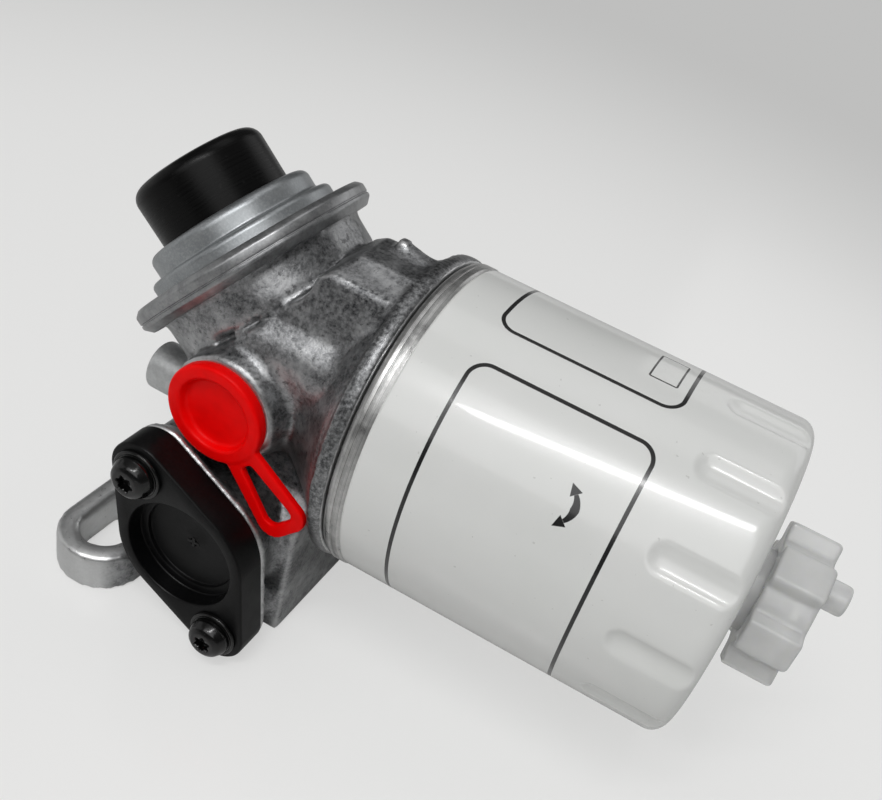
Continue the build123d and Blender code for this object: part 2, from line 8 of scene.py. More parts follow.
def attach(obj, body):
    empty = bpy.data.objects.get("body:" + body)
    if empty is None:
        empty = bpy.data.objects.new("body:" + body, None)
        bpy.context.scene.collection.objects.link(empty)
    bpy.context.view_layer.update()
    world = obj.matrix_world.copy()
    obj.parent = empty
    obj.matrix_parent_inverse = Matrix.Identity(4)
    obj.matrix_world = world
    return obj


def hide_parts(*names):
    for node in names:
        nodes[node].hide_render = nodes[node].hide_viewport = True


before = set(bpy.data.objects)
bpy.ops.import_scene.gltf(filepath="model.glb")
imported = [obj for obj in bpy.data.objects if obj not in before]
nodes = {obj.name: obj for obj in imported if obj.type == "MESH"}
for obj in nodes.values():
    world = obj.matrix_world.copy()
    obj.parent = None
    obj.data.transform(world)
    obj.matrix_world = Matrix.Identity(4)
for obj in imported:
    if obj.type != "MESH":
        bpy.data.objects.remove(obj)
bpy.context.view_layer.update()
scene = bpy.context.scene
scene.view_settings.view_transform = "Standard"


# Camera: held a little above the filter and in front of the head, looking down on the pump,
# the red plug and the canister's printed side. The first three columns of its matrix are its
# right, up and backward directions, and the last is its place.
def placed(name, data):
    """New object with its data, in the scene."""
    piece = bpy.data.objects.new(name, data)
    scene.collection.objects.link(piece)
    return piece


camera_data = bpy.data.cameras.new("camera")
camera_data.lens = 41.17
camera_data.shift_x = -0.0568
camera_data.shift_y = 0.0657
camera = placed("camera", camera_data)
camera.matrix_world = Matrix((
    (0.8728, -0.4534, 0.1808, 0.1510),
    (0.4126, 0.4875, -0.7695, -0.2230),
    (0.2608, 0.7462, 0.6125, 0.2518),
    (0.0, 0.0, 0.0, 1.0),
))
scene.camera = camera


# Table: a white, slightly glossy table top. It fades into an even pale background far from
# the filter, so that no edge of it shows from any side.
def solid(colour):
    """Colour with its opacity; a single number is a grey."""
    return (colour, colour, colour, 1) if isinstance(colour, float) else (*colour, 1)


def feed(tree, node, inputs):
    """Sets a node's inputs, each to a plain value or to another node's result."""
    for socket, value in inputs.items():
        if isinstance(value, bpy.types.NodeSocket):
            tree.links.new(value, node.inputs[socket])
        elif node.inputs[socket].type == "RGBA":
            node.inputs[socket].default_value = solid(value)
        else:
            node.inputs[socket].default_value = value


def added(tree, kind, inputs, **settings):
    """New node of a kind with its settings and its inputs."""
    node = tree.nodes.new(kind)
    for setting, value in settings.items():
        setattr(node, setting, value)
    feed(tree, node, inputs)
    return node


def figure(tree, kind, *values):
    """Result of one math node on numbers or other nodes' results."""
    return added(tree, "ShaderNodeMath", dict(enumerate(values)), operation=kind).outputs[0]


def circle(x, z, radius, count):
    """Round outline as points in its own plane."""
    angles = [2 * pi * step / count for step in range(count)]
    return [(x + radius * cos(angle), z + radius * sin(angle)) for angle in angles]


table_radius, table_height, table_corners = 30.0, -0.0004, 64
table_edge = [(x, y, table_height) for x, y in circle(0, 0, table_radius, table_corners)]
table_mesh = bpy.data.meshes.new("table_top")
table_mesh.from_pydata(table_edge, [], [list(range(table_corners))])
table = placed("table_top", table_mesh)

fade_from, fade_to = 0.25, 0.82
glow_share = 0.53
backdrop_grey = (0.52, 0.52, 0.515)
table_finish = bpy.data.materials.new("white_table")
table_finish.use_nodes = True
tree = table_finish.node_tree
tree.nodes.clear()
place = added(tree, "ShaderNodeTexCoord", {})
reach = added(tree, "ShaderNodeVectorMath", {0: place.outputs["Object"]}, operation="LENGTH")
fade = added(tree, "ShaderNodeMapRange", {
    "Value": reach.outputs["Value"], "From Min": fade_from, "From Max": fade_to,
}, interpolation_type="SMOOTHSTEP")
gloss = added(tree, "ShaderNodeBsdfPrincipled", {
    "Base Color": (0.74, 0.74, 0.735), "Roughness": 0.20, "IOR": 1.45,
})
glow = added(tree, "ShaderNodeEmission", {"Color": (1.0, 1.0, 0.99)})
seen = added(tree, "ShaderNodeLightPath", {}).outputs["Is Camera Ray"]
near = added(tree, "ShaderNodeMixShader", {
    "Fac": figure(tree, "MULTIPLY", seen, glow_share), 1: gloss.outputs["BSDF"], 2: glow.outputs["Emission"],
})
far = added(tree, "ShaderNodeEmission", {"Color": backdrop_grey})
whole = added(tree, "ShaderNodeMixShader", {
    "Fac": fade.outputs["Result"], 1: near.outputs["Shader"], 2: far.outputs["Emission"],
})
added(tree, "ShaderNodeOutputMaterial", {"Surface": whole.outputs["Shader"]})
table_mesh.materials.append(table_finish)


# Studio light: a large soft box above and in front of the head, a long narrow strip that draws
# the bright streak along the canister, weak boxes behind and on the left, and a dim room.
def parts(tree, vector):
    """X, Y and Z of a vector."""
    return tuple(added(tree, "ShaderNodeSeparateXYZ", {"Vector": vector}).outputs)


def graded(tree, value, *stops):
    """Colours picked from a value by a ramp of (position, colour)."""
    ramp = added(tree, "ShaderNodeValToRGB", {"Fac": value})
    for index, (position, colour) in enumerate(stops):
        if index < 2:
            stop = ramp.color_ramp.elements[index]
            stop.position = position
        else:
            stop = ramp.color_ramp.elements.new(position)
        stop.color = solid(colour)
    return ramp.outputs["Color"]


def soft_box(name, place, aim, size, power, long_way=(1, 0, 0)):
    """Rectangular studio lamp that points from one place to another, its long side one way."""
    lamp_data = bpy.data.lights.new(name, "AREA")
    lamp_data.shape = "RECTANGLE"
    lamp_data.size, lamp_data.size_y = size
    lamp_data.energy = power
    back = (Vector(place) - Vector(aim)).normalized()
    side = (Vector(long_way) - back * back.dot(Vector(long_way))).normalized()
    up = back.cross(side)
    placed(name, lamp_data).matrix_world = Matrix((
        (side.x, up.x, back.x, place[0]),
        (side.y, up.y, back.y, place[1]),
        (side.z, up.z, back.z, place[2]),
        (0, 0, 0, 1),
    ))


world = bpy.data.worlds.new("studio_room")
scene.world = world
world.use_nodes = True
tree = world.node_tree
tree.nodes.clear()
direction = added(tree, "ShaderNodeTexCoord", {}).outputs["Generated"]
rise = parts(tree, direction)[2]
room_greys = graded(tree, rise, (0.0, 0.20), (1.0, 0.34), (0.12, 0.09), (0.42, 0.08), (0.75, 0.17))
room = added(tree, "ShaderNodeBackground", {"Color": room_greys})
backdrop = added(tree, "ShaderNodeBackground", {"Color": backdrop_grey})
seen = added(tree, "ShaderNodeLightPath", {}).outputs["Is Camera Ray"]
choice = added(tree, "ShaderNodeMixShader", {
    "Fac": seen, 1: room.outputs["Background"], 2: backdrop.outputs["Background"],
})
added(tree, "ShaderNodeOutputWorld", {"Surface": choice.outputs["Shader"]})

streak_way = (0.343, 0.218, 0.131)
soft_box("front_key", (0.10, -0.85, 1.05), (0.08, 0.0, 0.06), (1.5, 1.0), 7.4)
soft_box("streak_strip", (0.064, -0.471, 1.007), (0.12, -0.03, 0.11), (0.50, 0.055), 2.3, streak_way)
soft_box("back_top", (-0.10, 0.30, 1.15), (0.04, 0.0, 0.08), (0.8, 0.5), 0.9)
soft_box("back_fill", (0.45, 0.90, 0.50), (0.10, 0.0, 0.07), (0.9, 0.6), 1.5)
soft_box("left_fill", (-0.9, -0.35, 0.35), (0.05, 0.0, 0.07), (0.9, 0.7), 0.8)


# Head casting: the filter head is a single aluminium die casting with the pump's housing, two
# fuel ports, the heater's pad and the slotted foot. Its skin is mottled and its edges are
# soft from the mould, apart from the faces that were machined. Its places are in mm.
axis_z, mouth_x = 76.0, 71.5
pump_x, tilt = 41.65, radians(49.9)
port_x = 32.5
cover_x, cover_z = 34.3, 32.6
plug_y, plug_z = -14.0, 59.0


def finish_nodes(name):
    """New material with its tree, surface shader and object coordinates."""
    material = bpy.data.materials.new(name)
    material.use_nodes = True
    tree = material.node_tree
    where = added(tree, "ShaderNodeTexCoord", {}).outputs["Object"]
    return material, tree, tree.nodes["Principled BSDF"], where


def speckle(tree, where, size, detail=4.0, roughness=0.6):
    """Noise whose grain is about size metres."""
    return added(tree, "ShaderNodeTexNoise", {
        "Vector": where, "Scale": 1.0 / size, "Detail": detail, "Roughness": roughness,
    }).outputs["Fac"]


def spread(tree, value, low, high, from_low=0.3, from_high=0.7):
    """Value spread between two numbers."""
    return added(tree, "ShaderNodeMapRange", {
        "Value": value, "From Min": from_low, "From Max": from_high, "To Min": low, "To Max": high,
    }).outputs["Result"]


def above(tree, value, low, high):
    """Share that rises from 0 to 1 between two values."""
    return spread(tree, value, 0.0, 1.0, low, high)


def below(tree, value, low, high):
    """Share that falls from 1 to 0 between two values."""
    return spread(tree, value, 1.0, 0.0, low, high)


def raised(tree, height, depth, lower=None):
    """Bump of a height, depth metres high, laid on a lower bump."""
    bump = added(tree, "ShaderNodeBump", {"Height": height, "Strength": 1.0, "Distance": depth})
    if lower is not None:
        feed(tree, bump, {"Normal": lower})
    return bump.outputs["Normal"]


def times(tree, first, second):
    """Product of two values."""
    return figure(tree, "MULTIPLY", first, second)


def minus(tree, first, second):
    """Difference of two values."""
    return figure(tree, "SUBTRACT", first, second)


def largest(tree, first, *others):
    """Largest of some values."""
    for other in others:
        first = figure(tree, "MAXIMUM", first, other)
    return first


def mixed(tree, share, first, second):
    """Colour between two colours; each is a colour or another node's result."""
    return added(tree, "ShaderNodeMix", {0: share, 6: first, 7: second}, data_type="RGBA").outputs[2]


def rounded(corners, longest=0.49, fineness=3.5):
    """Closed outline through (radius, height, rounding) corners, each rounding as an arc."""
    points = []
    for index, corner in enumerate(corners):
        here = Vector(corner[:2])
        size = corner[2] if len(corner) > 2 else 0.0
        if size == 0.0:
            points.append(tuple(here))
            continue
        before = Vector(corners[index - 1][:2]) - here
        after = Vector(corners[(index + 1) % len(corners)][:2]) - here
        half = before.angle(after) / 2
        along = min(size / tan(half), longest * before.length, longest * after.length)
        size = along * tan(half)
        middle = here + (before.normalized() + after.normalized()).normalized() * size / sin(half)
        start = here + before.normalized() * along - middle
        end = here + after.normalized() * along - middle
        sweep = atan2(start.x * end.y - start.y * end.x, start.dot(end))
        steps = max(3, int(abs(sweep) * sqrt(size) * fineness))
        for step in range(steps + 1):
            turn = sweep * step / steps
            x = start.x * cos(turn) - start.y * sin(turn)
            y = start.x * sin(turn) + start.y * cos(turn)
            points.append((middle.x + x, middle.y + y))
    return points


def axis_line(origin, along, across):
    """Place of a turned piece: its origin, its axis and the direction of its angle 0, in mm."""
    along, across = Vector(along).normalized(), Vector(across).normalized()
    up = along.cross(across)
    return Matrix((
        (across.x, up.x, along.x, origin[0]),
        (across.y, up.y, along.y, origin[1]),
        (across.z, up.z, along.z, origin[2]),
        (0, 0, 0, 1),
    ))


def smooth_piece(name, form, angle=32):
    """Object of a finished bmesh, shaded smooth but for its sharp edges."""
    bmesh.ops.recalc_face_normals(form, faces=form.faces)
    mesh = bpy.data.meshes.new(name)
    form.to_mesh(mesh)
    form.free()
    mesh.polygons.foreach_set("use_smooth", [True] * len(mesh.polygons))
    mesh.set_sharp_from_angle(angle=radians(angle))
    return placed(name, mesh)


def wall(form, loops):
    """Walls between loops that have as many points as each other."""
    for first, second in zip(loops, loops[1:]):
        for index in range(len(first)):
            after = (index + 1) % len(first)
            form.faces.new((first[index], first[after], second[after], second[index]))


def turned(name, corners, line, count=192, shape=None):
    """Piece turned about a line from (radius, height, rounding) corners in mm."""
    form = bmesh.new()
    rings = []
    for radius, height in rounded(corners):
        if radius < 1e-4:
            rings.append([form.verts.new(line @ Vector((0, 0, height)) * 0.001)])
            continue
        ring = []
        for step in range(count):
            angle = 2 * pi * step / count
            away = radius if shape is None else shape(radius, height, angle)
            ring.append(form.verts.new(line @ Vector((away * cos(angle), away * sin(angle), height)) * 0.001))
        rings.append(ring)
    for first, second in zip(rings, rings[1:] + rings[:1]):
        if len(first) == len(second) == count:
            wall(form, [first, second])
        elif len(first) == count:
            for step in range(count):
                form.faces.new((first[step], first[(step + 1) % count], second[0]))
        elif len(second) == count:
            for step in range(count):
                form.faces.new((first[0], second[(step + 1) % count], second[step]))
    return smooth_piece(name, form)


def joined_copy(node):
    """Object with a node's mesh, its loose triangles joined."""
    mesh = nodes[node].data.copy()
    merged = bmesh.new()
    merged.from_mesh(mesh)
    bmesh.ops.remove_doubles(merged, verts=merged.verts, dist=1e-6)
    merged.to_mesh(mesh)
    merged.free()
    return placed(node + "_form", mesh)


def settled(piece):
    """Turns what a piece's modifiers make into its plain mesh."""
    mesh = bpy.data.meshes.new_from_object(piece.evaluated_get(bpy.context.evaluated_depsgraph_get()))
    piece.modifiers.clear()
    piece.data = mesh
    return mesh


def listed(items, key, width, kind=float):
    """One property of a mesh's items as an array with a row for each item."""
    values = np.empty(len(items) * width, dtype=kind)
    items.foreach_get(key, values)
    return values.reshape(-1, width)


def moulded(name, piece, grain, rounds, held=1.0, corners=None, fill_rounds=0):
    """Gives a piece one even skin, with its inner corners filled and its edges softened a little.

    The skin's attribute "edge" says how far it bends outward at each point."""
    most_fill, fill_step, soft_step = 0.5, 0.8, 0.5
    piece.name = name
    skin = piece.modifiers.new("skin", "REMESH")
    skin.mode = "VOXEL"
    skin.voxel_size = grain
    mesh = settled(piece)
    mesh.materials.clear()
    spots = listed(mesh.vertices, "co", 3)
    count = len(spots)
    ends = listed(mesh.edges, "vertices", 2, np.int64)
    both = np.concatenate([ends[:, 0], ends[:, 1]])
    other = np.concatenate([ends[:, 1], ends[:, 0]])
    valence = np.maximum(np.bincount(both, minlength=count), 1)[:, None]

    def pull():
        """Way from each point to the middle of its neighbours."""
        sums = [np.bincount(both, weights=spots[other, axis], minlength=count) for axis in range(3)]
        return np.stack(sums, axis=1) / valence - spots

    def facing():
        """Puts the points into the mesh and gives its outward direction at each."""
        mesh.vertices.foreach_set("co", spots.ravel())
        mesh.update()
        return listed(mesh.vertex_normals, "vector", 3)

    if corners is not None:
        limit = corners(spots)
    for _ in range(fill_rounds):
        outward = facing()
        depth = (pull() * outward).sum(axis=1) / grain - limit
        spots = spots + np.clip(depth, 0.0, most_fill)[:, None] * grain * outward * fill_step
    share = held(spots) if callable(held) else np.full(count, held)
    for _ in range(rounds):
        spots = spots + soft_step * share[:, None] * pull()
    bend = -(pull() * facing()).sum(axis=1) / grain
    attribute = mesh.attributes.new("edge", "FLOAT", "POINT")
    attribute.data.foreach_set("value", bend.astype(np.float32))
    mesh.polygons.foreach_set("use_smooth", [True] * len(mesh.polygons))
    return piece


def head_places(spots):
    """Places in mm, distance from the canister's axis, and height and distance on the pump's axis."""
    x, y, z = (spots * 1000).T
    height = -sin(tilt) * (x - pump_x) + cos(tilt) * (z - axis_z)
    across = np.hypot(cos(tilt) * (x - pump_x) + sin(tilt) * (z - axis_z), y)
    return x, y, z, np.hypot(y, z - axis_z), height, across


def head_held(spots):
    """Less softening at the rim, the port faces, the cover's pad, the lugs and the pump's ledge."""
    x, y, z, from_axis, height, across = head_places(spots)
    rim = (x > 64.5) & (from_axis > 40.0)
    port_faces = (np.abs(y) > 35.5) & (z > 56.0)
    pad = (y < -40.0) & (z < 70.0)
    lugs = z < 14.6
    ledge = (height > 18.5) & (height < 26.0) & (across > 27.0)
    share = np.ones(len(x))
    for zone, softening in ((rim, 0.12), (port_faces, 0.25), (pad, 0.25), (lugs, 0.50), (ledge, 0.30)):
        share[zone] = softening
    return share


def head_corners(spots):
    """How sharp an inner corner may be: wide fillets round the top block, small ones elsewhere."""
    x, y, z, from_axis, height, across = head_places(spots)
    small_fillet, wide_fillet, no_fillet = 0.085, 0.030, 9.0
    top_block = (z > 80.0) & (x > 30.0)
    chamber = (from_axis < 40.5) & (x > 58.0)
    rim = (from_axis > 39.0) & (x > 62.5)
    pump_chamber = (across < 27.5) & (height > 12.0)
    ledge = (across > 27.0) & (height > 18.6)
    ports = np.hypot(x - port_x, z - axis_z) < 13.0
    heater_well = np.hypot(x - cover_x, z - cover_z) < 15.0
    pad = (y < -39.0) & (z < 70.0)
    slots = (z < 15.0) & (np.abs(x) < 16.0)
    plug_seat = (np.hypot(y - plug_y, z - plug_z) < 9.5) & (x < 26.0)
    limit = np.full(len(x), small_fillet)
    limit[top_block] = wide_fillet
    limit[chamber | rim | pump_chamber | ledge | ports | heater_well | pad | slots | plug_seat] = no_fillet
    return limit


def prism(name, section, from_x, to_x):
    """Bar along X with a (y, z) section in mm."""
    form = bmesh.new()
    ends = [[form.verts.new((0.001 * x, 0.001 * y, 0.001 * z)) for y, z in section] for x in (from_x, to_x)]
    form.faces.new(ends[0])
    form.faces.new(ends[1][::-1])
    for index in range(len(section)):
        after = (index + 1) % len(section)
        form.faces.new((ends[0][index], ends[1][index], ends[1][after], ends[0][after]))
    return smooth_piece(name, form)


def added_outside(whole, piece, height, hollows):
    """Adds to a casting the part of a piece below a height on the pump's axis and outside hollows."""
    form = bmesh.new()
    form.from_mesh(piece.data)
    up = Vector((-sin(tilt), 0, cos(tilt)))
    middle = Vector((0.001 * pump_x, 0, 0.001 * axis_z))
    bmesh.ops.bisect_plane(form, geom=form.verts[:] + form.edges[:] + form.faces[:], dist=1e-7,
                           plane_co=middle + up * 0.001 * height, plane_no=up, clear_outer=True)
    bmesh.ops.holes_fill(form, edges=[edge for edge in form.edges if len(edge.link_faces) == 1])
    bmesh.ops.recalc_face_normals(form, faces=form.faces)
    form.to_mesh(piece.data)
    form.free()
    for hollow in hollows:
        cut = piece.modifiers.new("hollow", "BOOLEAN")
        cut.operation = "DIFFERENCE"
        cut.solver = "EXACT"
        cut.object = hollow
    form = bmesh.new()
    form.from_mesh(settled(piece))
    form.from_mesh(whole.data)
    form.to_mesh(whole.data)
    form.free()
    bpy.data.objects.remove(piece)


# The top block, its round shoulder and the port's conical foot run on to the pump's housing,
# up to its ledge, and leave the casting's own hollows open.
pump_line = axis_line((pump_x, 0, axis_z), (-sin(tilt), 0, cos(tilt)), (cos(tilt), 0, sin(tilt)))
can_line = axis_line((mouth_x, 0, axis_z), (1, 0, 0), (0, -1, 0))
port_line = axis_line((port_x, 0, axis_z), (0, -1, 0), (1, 0, 0))
barrel_room, pump_room, port_room = 25.8, 27.6, 12.2
hollows = [
    turned("barrel_room", [(0, -75.0), (barrel_room, -75.0), (barrel_room, 0), (0, 0)], can_line),
    turned("pump_room", [(0, 4.0), (pump_room, 4.0), (pump_room, 60.0), (0, 60.0)], pump_line),
    turned("port_room", [(0, 5.0), (port_room, 5.0), (port_room, 50.0), (0, 50.0)], port_line),
]
under_block, under_ledge = 21.7, 21.2
block_section = [
    (-28.0, 95.0), (-19.5, 119.0), (-11.6, 121.0), (-11.0, 122.0), (4.0, 122.2), (13.0, 114.6), (23.0, 90.0),
]
shoulder_section = [
    (-24.0, 102.9), (-25.6, 102.4), (-29.2, 99.4), (-31.4, 95.6), (-32.0, 91.0), (-31.0, 84.0), (-28.5, 74.0),
    (-15.0, 74.0), (-15.0, 102.9),
]
port_foot = [(0, 12.0), (19.0, 12.0), (18.6, 27.0), (17.6, 31.5), (16.3, 36.4), (0, 36.4)]
head_form = joined_copy("head_casting")
added_outside(head_form, prism("block_form", block_section, 24.0, 46.0), under_block, hollows)
added_outside(head_form, prism("shoulder_form", shoulder_section, 30.0, 60.0), under_ledge, hollows)
added_outside(head_form, turned("port_foot_form", port_foot, port_line, 96), under_ledge, hollows)
for hollow in hollows:
    bpy.data.objects.remove(hollow)
head = moulded("filter_head", head_form, 0.00105, 7, head_held, head_corners, 60)

cast_finish, made, surface, where = finish_nodes("cast_aluminium")
skin = speckle(made, where, 0.009, 5.0, 0.62)
grit = speckle(made, where, 0.0011, 3.0, 0.7)
pits = speckle(made, where, 0.0028, 6.0, 0.75)
edge = added(made, "ShaderNodeAttribute", {}, attribute_name="edge").outputs["Fac"]
# The faces that were machined, the lugs and the rim, by their places in metres.
x, y, z = parts(made, where)
side_y = figure(made, "ABSOLUTE", y)
port_cut = times(made, above(made, side_y, 0.0373, 0.0375), above(made, z, 0.0585, 0.059))
port_cut = times(made, port_cut, below(made, x, 0.0520, 0.0525))
foot_cut = below(made, z, 0.0001, 0.0004)
seal_cut = above(made, x, 0.0711, 0.0713)
machined = largest(made, port_cut, foot_cut, seal_cut)
# The lugs are painted lighter: a painted reflection of the bright light above them.
lug_painted_light = times(made, below(made, z, 0.0145, 0.0155), below(made, x, 0.0080, 0.0120))
rim = minus(made, above(made, x, 0.0664, 0.0668), seal_cut)
rim_tone = graded(made, grit, (0.40, (0.07, 0.071, 0.073)), (0.68, (0.34, 0.345, 0.35)))
tone = graded(made, skin, (0.34, (0.060, 0.062, 0.065)), (0.68, (0.40, 0.404, 0.41)),
              (0.50, (0.17, 0.173, 0.178)))
# Over the skin's own tone come painted glints, pits, painted highlights where the skin bends outward, painted
# shade in its inner corners, machined faces, the lugs painted lighter and the rim.
for share, colour in (
    (times(made, above(made, grit, 0.35, 0.68), 0.42), (0.60, 0.605, 0.61)),
    (times(made, below(made, pits, 0.33, 0.45), 0.75), (0.060, 0.061, 0.063)),
    # Painted highlight along the edges that bend outward.
    (spread(made, edge, 0.0, 0.80, 0.05, 0.20), 0.80),
    # Painted shade in the inner corners.
    (spread(made, edge, 0.70, 0.0, -0.16, -0.03), (0.045, 0.046, 0.048)),
    (machined, (0.66, 0.665, 0.67)),
    # Painted reflection: the lugs lighter than the rest of the casting.
    (times(made, lug_painted_light, 0.70), (0.80, 0.805, 0.80)),
    (times(made, rim, 0.75), rim_tone),
):
    tone = mixed(made, share, tone, colour)
relief = raised(made, pits, 0.00007, raised(made, skin, 0.00022))
feed(made, surface, {
    "Base Color": tone, "Roughness": spread(made, grit, 0.27, 0.42), "Metallic": 0.92,
    "Normal": raised(made, grit, 0.00005, relief),
})
head.data.materials.append(cast_finish)
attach(head, "head")
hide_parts("head_casting")


# Side plug: a short bare round plug that closes the drilled passage at the barrel's end. It
# is turned, pressed in with its shank, and has a fine satin face.
def plain_finish(name, dark, light, metallic, rough, grain=0.002, bump=0.00002, bump_grain=0.0006):
    """Finish of one stock: two close colours, a roughness range and a fine bump."""
    material, made, surface, where = finish_nodes(name)
    cloud = speckle(made, where, grain)
    feed(made, surface, {
        "Base Color": graded(made, cloud, (0.3, dark), (0.7, light)),
        "Roughness": spread(made, cloud, *rough), "Metallic": metallic,
        "Normal": raised(made, speckle(made, where, bump_grain), bump),
    })
    return material


side_line = axis_line((9.0, plug_y, plug_z), (-1, 0, 0), (0, 1, 0))
side_plug = turned("side_plug_bare", [
    (0, -10), (6.0, -10, 0.5), (6.0, 0), (7.7, 0, 0.2), (7.7, 14.0, 0.9), (6.2, 14.0, 0.1), (6.0, 13.8, 0.1),
    (0, 13.8),
], side_line, 96)
side_plug.data.materials.append(plain_finish(
    "satin_plug", (0.50, 0.51, 0.51), (0.66, 0.67, 0.67), 0.75, (0.42, 0.55), 0.0015))
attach(side_plug, "head")
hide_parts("side_plug")


# Canister nipple: a hollow steel stud screwed into the head. Its thread carries the canister
# and clean fuel passes through it.
def coated(finish, *names):
    """Gives one finish to nodes that are shown as they are."""
    for name in names:
        nodes[name].data.materials.clear()
        nodes[name].data.materials.append(finish)


thread_pitch, thread_depth = 0.0015, 0.0009
steel_thread, made, surface, where = finish_nodes("threaded_steel")
x, y, z = parts(made, where)
rise = figure(made, "DIVIDE", x, thread_pitch)
turn = figure(made, "DIVIDE", figure(made, "ARCTAN2", y, minus(made, z, 0.001 * axis_z)), 2 * pi)
thread = figure(made, "PINGPONG", figure(made, "ADD", rise, turn), 0.5)
cloud = speckle(made, where, 0.002)
feed(made, surface, {
    "Base Color": graded(made, cloud, (0.3, 0.40), (0.7, 0.56)),
    "Roughness": 0.32, "Metallic": 1.0, "Normal": raised(made, thread, thread_depth),
})
coated(steel_thread, "canister_nipple")


# Check valves and diaphragm: moulded black rubber. The two mushroom valves sit in their wells
# in the chamber's floor, and the diaphragm's edge is held under the clamp ring.
rubber_finish = plain_finish("black_rubber", 0.010, 0.022, 0.0, (0.50, 0.65), 0.001, 0.00003)
coated(rubber_finish, "inlet_check_valve", "outlet_check_valve", "pump_diaphragm")


# Pump spring and plunger: the spring is drawn steel wire, and the plunger a turned steel rod
# with a plate that pushes the diaphragm.
bright_steel = plain_finish("bright_steel", 0.42, 0.58, 1.0, (0.24, 0.34), 0.003, 0.00001)
coated(bright_steel, "pump_spring", "pump_plunger")


# Clamp ring: a dull zinc plated steel ring, rolled over the housing's lip, the diaphragm and
# the pump's cover. Its outer wall carries the line of the rolling tool.
def plated_finish(name, skin, dark, light, grit_size, glint, rough, metallic, bumps):
    """Metal with a clouded skin and glinting grit.

    Skin is its noise's size, detail and roughness, glint the grit's low end, share and colour."""
    material, made, surface, where = finish_nodes(name)
    skin = speckle(made, where, *skin)
    grit = speckle(made, where, grit_size, 3.0, 0.7)
    tone = graded(made, skin, dark, light)
    tone = mixed(made, times(made, above(made, grit, glint[0], 0.7), glint[1]), tone, glint[2])
    feed(made, surface, {
        "Base Color": tone, "Roughness": spread(made, grit, *rough), "Metallic": metallic,
        "Normal": raised(made, grit, bumps[1], raised(made, skin, bumps[0])),
    })
    return material


clamp_ring = turned("rolled_clamp_ring", [
    (31.9, 33.3), (35.4, 33.3, 0.7), (37.4, 35.3, 0.9), (37.4, 36.2, 0.1), (37.12, 36.35, 0.1),
    (37.12, 36.65, 0.1), (37.4, 36.8, 0.1), (37.4, 39.0, 1.0), (35.8, 40.5, 1.0), (33.4, 40.5, 0.5),
    (32.6, 40.1, 0.3), (32.6, 39.7), (33.8, 39.7), (33.8, 34.1), (31.9, 34.1),
], pump_line, 256)
clamp_ring.data.materials.append(plated_finish(
    "dull_zinc", (0.004, 5.0, 0.65), (0.30, (0.20, 0.203, 0.208)), (0.70, (0.38, 0.385, 0.39)),
    0.0007, (0.4, 0.3, (0.52, 0.525, 0.53)), (0.30, 0.44), 0.95, (0.00006, 0.00002)))
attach(clamp_ring, "head")
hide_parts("clamp_ring")


# Pump cover: sheet steel pressed in two steps, zinc plated to a smooth pale blue-grey. The
# button slides through its middle.
pump_cover = turned("stepped_pump_cover", [
    (33.5, 38.7), (33.5, 39.7), (29.0, 39.7, 0.9), (29.0, 44.5, 2.8), (25.5, 44.5, 0.9), (25.5, 51.0, 2.7),
    (20.3, 51.0, 0.3), (20.3, 49.5), (24.0, 49.5, 1.2), (24.0, 43.0), (27.5, 43.0, 1.0), (27.5, 38.7),
], pump_line, 256)
pump_cover.data.materials.append(plated_finish(
    "zinc_plate", (0.006, 4.0, 0.55), (0.3, (0.27, 0.285, 0.295)), (0.7, (0.35, 0.365, 0.375)),
    0.0006, (0.45, 0.25, (0.70, 0.72, 0.73)), (0.34, 0.44), 0.88, (0.00004, 0.00001)))
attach(pump_cover, "head")
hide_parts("pump_cover")


# Pump button: a black turned cup that the thumb pushes. Fine turning marks run round its side
# and its top, and its flange stops it under the cover.
pump_button = turned("primer_button", [
    (0, 68.0), (20.0, 68.0, 4.0), (20.0, 49.2), (22.0, 49.2, 0.3), (22.0, 47.2, 0.3), (18.0, 47.2),
    (18.0, 66.0, 2.6), (0, 66.0),
], pump_line, 256)
button_finish, made, surface, where = finish_nodes("black_button")
from_pump = added(made, "ShaderNodeVectorMath", {
    0: where, 1: (0.001 * pump_x, 0.0, 0.001 * axis_z),
}, operation="SUBTRACT").outputs["Vector"]
height = added(made, "ShaderNodeVectorMath", {
    0: from_pump, 1: (-sin(tilt), 0.0, cos(tilt)),
}, operation="DOT_PRODUCT").outputs["Value"]
length = added(made, "ShaderNodeVectorMath", {0: from_pump}, operation="LENGTH").outputs["Value"]
squared = minus(made, times(made, length, length), times(made, height, height))
radius = figure(made, "SQRT", largest(made, squared, 0.0))
lathe_place = added(made, "ShaderNodeCombineXYZ", {"X": height, "Y": radius}).outputs["Vector"]
marks = speckle(made, lathe_place, 0.00035, 3.0, 0.7)
dust = above(made, speckle(made, where, 0.0015, 4.0, 0.7), 0.62, 0.75)
tone = graded(made, marks, (0.3, 0.0012), (0.7, 0.003))
feed(made, surface, {
    "Base Color": mixed(made, times(made, dust, 0.05), tone, 0.2),
    "Roughness": spread(made, marks, 0.24, 0.36), "Specular IOR Level": 0.14,
    "Normal": raised(made, marks, 0.000012),
})
pump_button.data.materials.append(button_finish)
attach(pump_button, "button")
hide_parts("pump_button")


